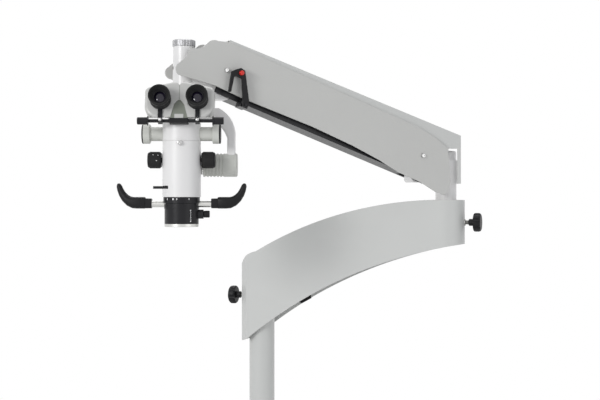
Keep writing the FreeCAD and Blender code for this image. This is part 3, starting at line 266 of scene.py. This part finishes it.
def moulded(name, colour, roughness, grain=1400, strength=0.25, sheen=0.5):
    """Moulded plastic with a fine spark grain."""
    shade = Shade(name, colour, roughness)
    pale = [min(1.0, part * 1.18 + 0.01) for part in colour]
    shade.tint(shade.noise(12, 4), 0.4, 0.7, 0.4, pale)
    shade.raise_bump(shade.noise(grain, 3), strength, 0.0002)
    shade.vary_roughness(shade.noise(180, 3), 0.15)
    return shade.done(Specular_IOR_Level=sheen)


def metal(name, colour, roughness, stretch=(1, 1, 30)):
    """Turned or drawn metal with fine streaks."""
    shade = Shade(name, colour, roughness, 1.0)
    streak = shade.noise(260, 4, stretch)
    shade.tint(streak, 0.35, 0.7, 0.5, [part * 0.8 for part in colour])
    shade.vary_roughness(streak, 0.15)
    shade.raise_bump(streak, 0.06, 0.0001)
    return shade.done()


def rubber(name, colour):
    """Matt rubber with paler scuffs and a soft sheen."""
    shade = Shade(name, colour, 0.62)
    shade.tint(shade.noise(40, 5), 0.45, 0.75, 0.35, [part * 1.8 for part in colour])
    shade.raise_bump(shade.noise(700, 4), 0.3, 0.0003)
    return shade.done(Sheen_Weight=0.06, Sheen_Roughness=0.4, Specular_IOR_Level=0.25)


def lens_glass(name, colour):
    """Coated optical glass with a violet cast."""
    shade = Shade(name, colour, 0.02)
    shade.tint(shade.noise(30, 2), 0.4, 0.6, 0.3, (0.05, 0.03, 0.08))
    return shade.done(Transmission_Weight=0.35, IOR=1.45, Coat_Weight=0.15, Coat_Roughness=0.02)


LOOKS = {
    "white_casting": paint("white_casting", (0.80, 0.79, 0.785), 0.32),
    "white_sheet": paint("white_sheet", (0.60, 0.605, 0.59), 0.36, 0.16),
    "white_cover": paint("white_cover", (0.555, 0.553, 0.535), 0.34),
    "cast_base": paint("cast_base", (0.66, 0.67, 0.655), 0.42, 0.35),
    "steel": metal("steel", (0.42, 0.42, 0.41), 0.28),
    "chrome": metal("chrome", (0.60, 0.60, 0.60), 0.12, (1, 1, 4)),
    "cap_metal": metal("cap_metal", (0.36, 0.36, 0.37), 0.34, (6, 6, 1)),
    "aluminium": metal("aluminium", (0.66, 0.66, 0.64), 0.25, (30, 1, 1)),
    "black_metal": moulded("black_metal", (0.010, 0.010, 0.012), 0.25, 2000, 0.08, 0.25),
    "black_plastic": moulded("black_plastic", (0.009, 0.009, 0.010), 0.36, 1400, 0.2, 0.2),
    "black_rubber": rubber("black_rubber", (0.012, 0.012, 0.012)),
    "grey_tyre": rubber("grey_tyre", (0.10, 0.105, 0.11)),
    "red_plastic": moulded("red_plastic", (0.66, 0.018, 0.01), 0.18, 900, 0.04),
    "grey_plastic": moulded("grey_plastic", (0.56, 0.565, 0.53), 0.42, 1200, 0.12),
    "shadow_plastic": moulded("shadow_plastic", (0.20, 0.215, 0.18), 0.5, 900, 0.1),
    "mark_white": moulded("mark_white", (0.86, 0.86, 0.86), 0.5, 900, 0.05),
    "glass": lens_glass("glass", (0.012, 0.010, 0.024)),
}


# CAD nodes: joined facets, rounded edges and smooth shading by modifiers

SLOT_OF = {row["node"]: row["material_slot"] for row in frame["record"]["subparts"]}
SHARP = math.radians(28)
SAME_PLANE = math.radians(0.5)
SAME_POINT = 0.01 * MM
OWN_LOOK = {"knurled_cap": "cap_metal", "lower_pins": "cap_metal"}
EDGE_WIDTH = {"base_casting": 2.5, "front_cover": 1.2, "top_cover": 0.6, "rear_knuckle": 1.0,
              "front_knuckle": 1.0, "lock_lever": 1.0, "lower_link": 0.6, "brake_pedal_1": 0.8,
              "brake_pedal_2": 0.8, "binocular_base": 1.0}


def bevel_edges(obj, width, segments):
    """Round the sharp edges by a width in millimetres and keep flat faces flat in the shading."""
    bevel = obj.modifiers.new("bevel", "BEVEL")
    bevel.width = width * MM
    bevel.segments = segments
    bevel.limit_method = "ANGLE"
    bevel.angle_limit = SHARP
    level = obj.modifiers.new("level", "WEIGHTED_NORMAL")
    level.weight = 100
    level.keep_sharp = False


def round_edges(obj, width):
    """Join the facets of flat faces first, so that the bevel follows real edges."""
    weld = obj.modifiers.new("weld", "WELD")
    weld.merge_threshold = SAME_POINT
    flat = obj.modifiers.new("flat", "DECIMATE")
    flat.decimate_type = "DISSOLVE"
    flat.angle_limit = SAME_PLANE
    bevel_edges(obj, width, 2)


def smooth(mesh):
    if "custom_normal" in mesh.attributes:
        mesh.attributes.remove(mesh.attributes["custom_normal"])
    mesh.shade_smooth()
    mesh.set_sharp_from_angle(angle=SHARP)


for name, node in frame["nodes"].items():
    node.data.materials.clear()
    node.data.materials.append(LOOKS[OWN_LOOK.get(name, SLOT_OF[name])])
    if name in EDGE_WIDTH:
        round_edges(node, EDGE_WIDTH[name])
    smooth(node.data)


# Mesh helpers: shapes are given in millimetres in a local frame

ON_AXIS = 1e-6


def make_piece(name, shape, place, body, slot, look=None, bevel=0.0, replaces=()):
    """Turn a bmesh in millimetres into a piece that rides on a body."""
    bmesh.ops.remove_doubles(shape, verts=shape.verts, dist=1e-4)
    bmesh.ops.recalc_face_normals(shape, faces=shape.faces)
    bmesh.ops.scale(shape, vec=(MM, MM, MM), verts=shape.verts)
    shape.transform(place)
    mesh = bpy.data.meshes.new(name)
    shape.to_mesh(mesh)
    shape.free()
    obj = link(bpy.data.objects.new(name, mesh))
    mesh.materials.append(LOOKS[look or slot])
    if bevel:
        bevel_edges(obj, bevel, 3)
    smooth(mesh)
    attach(obj, body)
    if replaces:
        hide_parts(*replaces)


def ring_about_z(shape, radius, height, segments, reach=None):
    """A ring of corners, or one on the axis; reach changes the radius with the angle."""
    if radius < ON_AXIS:
        return [shape.verts.new((0, 0, height))]
    ring = []
    for step in range(segments):
        angle = 2 * math.pi * step / segments
        out = reach(angle) if reach else radius
        ring.append(shape.verts.new((out * math.cos(angle), out * math.sin(angle), height)))
    return ring


def skin(shape, rings):
    """Faces between rings that follow one another; a ring may be a single corner."""
    for low, high in zip(rings, rings[1:]):
        sides = max(len(low), len(high))
        for step in range(sides):
            after = (step + 1) % sides
            corners = dict.fromkeys([low[step % len(low)], low[after % len(low)],
                                     high[after % len(high)], high[step % len(high)]])
            if len(corners) > 2:
                shape.faces.new(list(corners))


def lathe(profile, segments=64, flutes=0, depth=0.0, span=(0, 0)):
    """Turn a (radius, height) profile about Z; flutes cut scallops between two heights."""
    shape = bmesh.new()
    rings = []
    for radius, height in profile:
        cut = depth if flutes and span[0] <= height <= span[1] else 0.0
        rings.append(ring_about_z(
            shape, radius, height, segments,
            lambda angle: radius - cut * max(0.0, math.cos(flutes * angle)) ** 2))
    skin(shape, rings)
    return shape


def prism(points, low, high):
    """A flat outline in X and Y grown from one height to another."""
    shape = bmesh.new()
    bottom = [shape.verts.new((x, y, low)) for x, y in points]
    top = [shape.verts.new((x, y, high)) for x, y in points]
    shape.faces.new(bottom[::-1])
    shape.faces.new(top)
    skin(shape, [bottom, top])
    return shape


def box(x, y, z):
    """A box from three (low, high) pairs."""
    return prism([(x[0], y[0]), (x[1], y[0]), (x[1], y[1]), (x[0], y[1])], *z)


def tube_through(sections, sides):
    """A closed skin through rings given as (centre, across, up, width, height, power)."""
    shape = bmesh.new()
    rings = []
    for centre, across_tube, up, width, height, power in sections:
        ring = []
        for step in range(sides):
            angle = 2 * math.pi * step / sides
            reach = [math.copysign(abs(part) ** (2 / power), part)
                     for part in (math.cos(angle), math.sin(angle))]
            point = Vector(centre) + Vector(across_tube) * (reach[0] * width / 2)
            ring.append(shape.verts.new(point + Vector(up) * (reach[1] * height / 2)))
        rings.append(ring)
    skin(shape, rings)
    shape.faces.new(rings[0][::-1])
    shape.faces.new(rings[-1])
    return shape


# Local frames, worked out from the joints: millimetres in the frames of the solids

JOINT = {joint["name"]: joint for joint in frame["joints"]}
BODY_OF = {node: body for body, nodes in frame["record"]["behaviour"]["bodies"].items()
           for node in nodes}
UP = Vector((0, 0, 1))
RIGHT = Vector((1, 0, 0))
SIDES = (("left", -1), ("right", 1))


def joint_point(name):
    return Vector(JOINT[name]["pos_m"])


def joint_axis(name):
    return Vector(JOINT[name]["axis"])


def move(x, y, z):
    """A translation given in millimetres."""
    return Matrix.Translation(Vector((x, y, z)) * MM)


def basis(origin, right, depth, up):
    return Matrix.Translation(origin) @ Matrix((right, depth, up)).transposed().to_4x4()


def frame_at(origin, z_axis, x_hint=UP):
    """A frame whose Z is an axis and whose X is near a hint, at a point in metres."""
    up = Vector(z_axis).normalized()
    right = (x_hint - x_hint.dot(up) * up).normalized()
    return basis(origin, right, up.cross(right), up)


def across(place, height):
    """Local Z along the frame's X, at a height in millimetres."""
    return place @ move(0, 0, height) @ Matrix.Rotation(QUARTER_TURN, 4, "Y")


def toward_user(place, x, y, z):
    """Local Z along the frame's minus Y, at a point in millimetres."""
    return place @ move(x, y, z) @ Matrix.Rotation(QUARTER_TURN, 4, "X")


def above_floor(point):
    """An upright frame on the floor below a point."""
    return Matrix.Translation((point.x, point.y, 0))


MICROSCOPE = above_floor(joint_point("magnification_turn"))
BODY_RADIUS = 39.5
LENS_RADIUS = 35

PUPIL_HALF = 37.5
EYECUP_REACH = 15
OUTWARD = joint_axis("eyecup_turn_left")
BETWEEN_EYES = (joint_point("eyecup_turn_left") + joint_point("eyecup_turn_right")) / 2
BINOCULAR = basis(BETWEEN_EYES - OUTWARD * EYECUP_REACH * MM, RIGHT, -OUTWARD, RIGHT.cross(-OUTWARD))

ARM_LINK = joint_point("front_post_level") - joint_point("arm_lift")
LINK_LENGTH = ARM_LINK.length / MM
ALONG = ARM_LINK.normalized()
FACING = -joint_axis("arm_lift")
LINK = basis(joint_point("arm_lift"), ALONG, FACING, ALONG.cross(FACING))
LOWER = basis(joint_point("lower_bar_lift"), ALONG, FACING, ALONG.cross(FACING))


# Eyepieces: rubber eyecups and the stop rings round the lenses

CUP_BORE = 17.05
CUP_FOOT = 8
RIDGES = 5
RIDGE_START = 10.2
RIDGE_PITCH = 2.1
RIDGE_LOW = 21.0
RIDGE_HIGH = 21.5
STOP_RADIUS = 13.95
STOP_BORE = 11.0
STOP_FOOT = 16.4


def eyecup_profile():
    """A sleeve with fine grip rings, a flared and rolled lip and a hollow that narrows."""
    foot = [(CUP_BORE, CUP_FOOT), (20.4, CUP_FOOT), (21.1, CUP_FOOT + 0.6)]
    grip = []
    for ridge in range(RIDGES):
        start = RIDGE_START + RIDGE_PITCH * ridge
        grip += [(RIDGE_LOW, start), (RIDGE_HIGH, start + 0.4), (RIDGE_HIGH, start + 1.2),
                 (RIDGE_LOW, start + 1.6)]
    flare = [(21.3, 21.4), (21.5, 23), (22.1, 27), (22.3, 29)]
    lip = [(22.0, 30.3), (21.3, 31), (20.4, 31.1), (19.4, 30.4)]
    hollow = [(17.8, 27.4), (16.6, 25.2), (15.6, 24.1), (15.0, 23.6), (15.0, 22.4),
              (CUP_BORE, 22.35), (CUP_BORE, CUP_FOOT)]
    return foot + grip + flare + lip + hollow


def eyepieces():
    stop = [(STOP_RADIUS, STOP_FOOT), (STOP_RADIUS, 21.4), (13.2, 21.9), (12.6, 21.4), (12.2, 19.4),
            (11.4, 18.9), (STOP_BORE, 17.2), (STOP_BORE, STOP_FOOT), (STOP_RADIUS, STOP_FOOT)]
    for side, sign in SIDES:
        place = toward_user(BINOCULAR, sign * PUPIL_HALF, 0, 0)
        make_piece("eyecup_rubber_" + side, lathe(eyecup_profile(), 72), place, "eyecup_" + side,
                   "black_rubber", replaces=["eyecup_" + side])
        make_piece("eyepiece_stop_" + side, lathe(stop, 72), place, "barrel_" + side, "black_metal")


# Screws and studs

HEX_FACET = math.pi / 3
COVER_HALF = 42
COVER_SCREW_REST = 1.6
SEAM_SCREW_HEIGHT = 1266
STUD_OFFSET = {"column_lock": 17, "post_lock": 12}
THREAD_TURNS = 6
THREAD_PITCH = 1.2
THREAD_ROOT = 4.4
THREAD_CREST = 5.0


def socket_head(radius, height, socket, deep, segments=24):
    """A domed screw head with a hexagon socket."""
    def hexagon(angle):
        return socket * (math.cos(HEX_FACET / 2) / math.cos(angle % HEX_FACET - HEX_FACET / 2))

    shape = bmesh.new()
    dome = [(radius, 0), (radius, height * 0.45), (radius * 0.93, height * 0.8),
            (radius * 0.75, height * 0.97), (radius * 0.6, height)]
    rings = [ring_about_z(shape, reach, level, segments) for reach, level in dome]
    for level in (height, height - deep):
        rings.append(ring_about_z(shape, socket, level, segments, hexagon))
    rings.append(ring_about_z(shape, 0, height - deep, segments))
    skin(shape, rings)
    shape.faces.new(rings[0][::-1])
    return shape


def screws():
    corners = [(along, side) for along in (0, LINK_LENGTH) for side in (1, -1)]
    for number, (along, side) in enumerate(corners, 1):
        place = LINK @ move(along, side * (COVER_HALF + COVER_SCREW_REST), 0)
        make_piece("cover_screw_head_%d" % number,
                   socket_head(radius=5.0, height=2.6, socket=2.0, deep=1.6),
                   place @ Matrix.Rotation(-side * QUARTER_TURN, 4, "X"), "balance_arm", "chrome")
    knurled = [(3, -3.5), (3, 0.2), (4.7, 0.3), (5.0, 0.9), (5.0, 5.3), (4.6, 6.1), (3.6, 6.6),
               (2.2, 6.6), (1.9, 5.2), (0, 5.2)]
    make_piece("seam_screw_head", lathe(knurled, 96, flutes=24, depth=0.35, span=(0.8, 5.6)),
               toward_user(MICROSCOPE, 0, -BODY_RADIUS, SEAM_SCREW_HEIGHT), "seam_screw", "chrome",
               replaces=["seam_screw"])


def lock_studs():
    """Threaded studs with a collar, which show between the arm and each lock knob."""
    thread = [(0, -0.6), (7.6, -0.6), (7.6, 1.6), (7.0, 2.2), (THREAD_ROOT, 2.3)]
    for turn in range(THREAD_TURNS):
        start = 2.5 + THREAD_PITCH * turn
        thread += [(THREAD_ROOT, start), (THREAD_CREST, start + THREAD_PITCH / 2)]
    thread += [(THREAD_ROOT, 9.8), (0, 9.8)]
    for name, offset in STUD_OFFSET.items():
        axis = joint_axis(name + "_turn")
        foot = joint_point(name + "_turn") - axis * offset * MM
        make_piece(name + "_thread", lathe(thread, 32), frame_at(foot, axis), name, "steel")


# Binocular head: painted shade in the front recess and along the seam, distance block, clamp screws and collars

RECESS_SHADE_PANEL = [(-20.2, -38.0), (20.2, -38.0), (10.0, -9.6), (2.8, -0.8), (-2.8, -0.8),
                (-10.0, -9.6)]
LOBE_SEAM_SHADE = ((-0.45, 0.45), (-1, 31), (-0.6, 0.05))
DISTANCE_BLOCK = ((-19, 19), (-48.9, -38.6), (-13, 0.9))
CLAMP_PLACE = (-3, -42.8)


def binocular_details():
    front = toward_user(BINOCULAR, 0, 0, 0)
    # painted shade: a dark plate sunk in the front recess, coloured as the recess looks in shadow
    make_piece("recess_shade_panel", prism(RECESS_SHADE_PANEL, -2.9, -1.6), front, "binocular", "grey_plastic",
               "shadow_plastic", 0.3)
    # painted shade: a dark strip down the groove between the two lobes
    make_piece("lobe_seam_shade", box(*LOBE_SEAM_SHADE), front, "binocular", "grey_plastic", "shadow_plastic")
    make_piece("distance_block", box(*DISTANCE_BLOCK), front, "binocular", "black_plastic",
               bevel=1.2)
    dome = [(0, 4.9), (1.6, 4.7), (3.0, 3.9), (3.9, 2.6), (4.2, 1.0), (4.2, -0.2), (0, -0.2)]
    collar = [(20.4, 0.4), (21.2, 0.9), (21.4, 2.0), (21.2, 4.6), (20.2, 5.4), (18.6, 5.8),
              (17.0, 7.0), (16.9, 0.6), (20.4, 0.4)]
    for side, sign in SIDES:
        make_piece("clamp_screw_" + side, lathe(dome, 40),
                   toward_user(BINOCULAR, sign * PUPIL_HALF, *CLAMP_PLACE), "barrel_" + side, "chrome")
        make_piece("barrel_collar_" + side, lathe(collar, 72),
                   toward_user(BINOCULAR, sign * PUPIL_HALF, 0, 0), "barrel_" + side, "black_plastic")


# Microscope body: knob sleeves, scale and marks

KNOB_HEIGHT = 1232
KNOB_RADIUS = 17.1
SLEEVE_BORE = 16.1
SLEEVE_END = 0.9
KNOB_GAP = 4
KNOB_END = 26
KNOB_DOTS = ((-47, 9.6), (-57, 10.4), (-50, -1.5))
SCALE_ANGLE = 37
SCALE_MIDDLE = 1117.5
SCALE_DOTS = (("scale_low", 1106.3), ("scale_high", 1129.0))
SCALE_STEPS = 4
SCALE_FIRST = 1109.5
SCALE_PITCH = 5
SCALE_STEP_ANGLE = 38.6
MARK_SUNK = 0.4
MARK_PROUD = 0.06
RING_MARK_HEIGHT = 1151.8
RING_MARKS = ((-45, 1.9, 1.0), (-22, 1.8, 1.6), (-9.5, 1.8, 0.8), (29, 1.6, 0.7))


def knob_sleeves():
    """Fluted rubber sleeves on the two knobs, and three dots on the left one."""
    low, high = BODY_RADIUS + KNOB_GAP, BODY_RADIUS + KNOB_END
    sleeve = [(SLEEVE_BORE, low), (17.0, low + 0.7), (KNOB_RADIUS, low + 1),
              (KNOB_RADIUS, high - 1), (17.0, high - 0.7), (SLEEVE_BORE, high), (SLEEVE_BORE, low)]
    span = (low + SLEEVE_END, high - SLEEVE_END)
    for side, sign in SIDES:
        place = across(MICROSCOPE, KNOB_HEIGHT) @ Matrix.Rotation(0 if sign > 0 else math.pi, 4, "X")
        make_piece("knob_sleeve_" + side, lathe(sleeve, 180, flutes=30, depth=0.55, span=span),
                   place, "magnification", "black_rubber")
    dot = [(0, 17.35), (0.75, 17.3), (0.95, 17.1), (0.95, 16.4), (0, 16.4)]
    for number, (along, height) in enumerate(KNOB_DOTS, 1):
        turn = QUARTER_TURN - math.asin(height / KNOB_RADIUS)
        place = MICROSCOPE @ move(along, 0, KNOB_HEIGHT) @ Matrix.Rotation(turn, 4, "X")
        make_piece("knob_dot_%d" % number, lathe(dot, 20), place, "magnification", "white_cover",
                   "mark_white")


def mark(name, carrier, radius, angle, height, long, wide):
    """A printed mark on a round body, a little proud; the angle runs from the user to the right."""
    turn = math.radians(angle)
    out = Vector((math.sin(turn), -math.cos(turn), 0))
    place = frame_at(MICROSCOPE.translation + out * radius * MM + UP * height * MM, out)
    make_piece(name, box((-long, long), (-wide, wide), (-MARK_SUNK, MARK_PROUD)), place,
               BODY_OF[carrier], "white_cover", "mark_white")


def marks():
    """A plain scale with dots on the objective's housing, and marks on the handle ring."""
    mark("scale_line", "objective_housing", LENS_RADIUS, SCALE_ANGLE, SCALE_MIDDLE, 11.0, 0.35)
    for name, height in SCALE_DOTS:
        mark(name, "objective_housing", LENS_RADIUS, SCALE_ANGLE, height, 1.1, 1.1)
    for step in range(SCALE_STEPS):
        mark("scale_step_%d" % (step + 1), "objective_housing", LENS_RADIUS, SCALE_STEP_ANGLE,
             SCALE_FIRST + SCALE_PITCH * step, 0.25, 0.8)
    for number, (angle, long, wide) in enumerate(RING_MARKS, 1):
        mark("ring_mark_%d" % number, "handle_ring", BODY_RADIUS - 2, angle, RING_MARK_HEIGHT, long,
             wide)


# Handles: square socket, thick block and a tapering horn

HANDLE_HEIGHT = 1141.5
GRIP_START = 62
GRIP_SECTIONS = (        # out, up, lean in degrees, height, depth, squareness
    (-0.8, 1.6, 0, 19.0, 19.0, 5),
    (0.2, 1.6, 0, 20.4, 20.4, 5),
    (11.8, 1.6, 0, 20.6, 20.6, 5),
    (12.6, 2.4, 0, 22.6, 22.6, 4),
    (14.0, 2.8, 0, 24.0, 24.0, 3.4),
    (30, 2.8, 0, 24.0, 24.0, 3.2),
    (38, 3.2, 6, 23.4, 23.6, 3.0),
    (46, 6.4, 24, 20.8, 22.0, 2.6),
    (53.6, 12.6, 44, 17.6, 19.6, 2.3),
    (59.8, 20.8, 59, 15.0, 17.0, 2.1),
    (63.8, 29.4, 71, 13.0, 15.0, 2),
    (66.0, 36.4, 79, 11.4, 13.0, 2),
    (66.8, 40.2, 84, 8.6, 10.0, 2),
    (67.1, 42.2, 86, 5.0, 6.0, 2),
    (67.2, 42.8, 86, 1.6, 2.0, 2),
)


def grips():
    depth_axis = Vector((0, 1, 0))
    for side, sign in SIDES:
        sections = []
        for along, up, lean, tall, deep, power in GRIP_SECTIONS:
            angle = math.radians(lean)
            out = Vector((math.cos(angle) * sign, 0, math.sin(angle)))
            sections.append(((sign * (GRIP_START + along), 0, HANDLE_HEIGHT + up), depth_axis,
                             depth_axis.cross(out) * -sign, deep, tall, power))
        make_piece("grip_shell_" + side, tube_through(sections, 40), MICROSCOPE, "grip_" + side,
                   "black_plastic", replaces=["grip_" + side])


# Arm: trimmed far cover, post cap, window panel, button dome and plates of the lower bar

FAR_COVER_DROP = 40
FAR_COVER_SLOPE = 0.04
POST_CAP_RADIUS = 23.6
POST_CAP_FOOT = 1239
POST_CAP_TOP = 1262
WINDOW_PANEL = ((-9.2, 14.2), (-37.4, -36.0), (1187.1, 1266.2))
BUTTON_OUT = 6
CHEEK_FRONT = 29.4
CHEEK_BACK = 27.9
NOSE_BACK = 34
NOSE_FRONT = 22
FORK_SHADE_FLOOR = ((LINK_LENGTH - 52, LINK_LENGTH - 16), (-27, 27), (-8.4, -7.1))
TAIL = [(50, -7), (30, -11.5), (12, -14.4), (-8, -14.4), (-14, -10), (-14, 7), (50, 7)]


def far_cover():
    """The far cover ends along the lower bar, so nothing hangs below it at the rear."""
    shape = bmesh.new()
    shape.from_mesh(frame["nodes"]["rear_cover"].data)
    bmesh.ops.remove_doubles(shape, verts=shape.verts, dist=1e-6)
    level = LINK @ Vector((0, 0, -FAR_COVER_DROP * MM))
    up = LINK.to_3x3() @ Vector((FAR_COVER_SLOPE, 0, 1))
    bmesh.ops.bisect_plane(shape, geom=shape.verts[:] + shape.edges[:] + shape.faces[:],
                           plane_co=level, plane_no=up, clear_inner=True)
    rim = [edge for edge in shape.edges if edge.is_boundary]
    bmesh.ops.holes_fill(shape, edges=rim, sides=0)
    bmesh.ops.scale(shape, vec=(1 / MM, 1 / MM, 1 / MM), verts=shape.verts)
    make_piece("far_cover_plate", shape, Matrix(), "balance_arm", "white_cover",
               replaces=["rear_cover"])


def post_details():
    """The cap on the post and the panel that closes the far window of the top cover."""
    post = above_floor(joint_point("post_swivel"))
    cap = [(0, POST_CAP_FOOT), (POST_CAP_RADIUS, POST_CAP_FOOT), (POST_CAP_RADIUS, 1257),
           (22.6, 1260.5), (20, POST_CAP_TOP), (0, POST_CAP_TOP)]
    make_piece("post_cap", lathe(cap, 72), post, "rear_post", "white_casting")
    level = Vector((ALONG.x, ALONG.y, 0)).normalized()
    make_piece("window_panel", box(*WINDOW_PANEL), basis(post.translation, level, FACING, UP),
               "balance_arm", "white_sheet")


def button_dome():
    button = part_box("lock_button")
    centre = (Vector(button[0]) + Vector(button[1])) / 2
    dome = [(4.9, -0.6), (4.9, 0.2), (4.5, 1.2), (3.4, 2.1), (1.8, 2.7), (0, 2.9), (0, -0.6)]
    make_piece("button_dome", lathe(dome, 48), frame_at(centre + FACING * BUTTON_OUT * MM, FACING),
               "button", "red_plastic")


def lower_bar_plates():
    """Cheeks that close the side of the fork at both ends, and a black plate under the front fork that paints the
    deep shade of the fork's pocket.
    """
    back, front = LINK_LENGTH - NOSE_BACK, LINK_LENGTH + NOSE_FRONT
    nose = [(back, -7.4), (front, -7.4), (front, 7.2), (back, 7.2)]
    upright = LOWER @ Matrix.Rotation(QUARTER_TURN, 4, "X")
    for name, outline in (("lower_bar_tail", TAIL), ("lower_bar_nose", nose)):
        make_piece(name, prism(outline, -CHEEK_FRONT, -CHEEK_BACK), upright, "lower_bar",
                   "black_metal", bevel=0.4)
    # painted shade: a black plate where the front fork's pocket lies in deep shade
    make_piece("fork_shade_floor", box(*FORK_SHADE_FLOOR), LOWER, "lower_bar", "black_metal", bevel=0.4)


eyepieces()
screws()
lock_studs()
binocular_details()
knob_sleeves()
marks()
grips()
far_cover()
post_details()
button_dome()
lower_bar_plates()
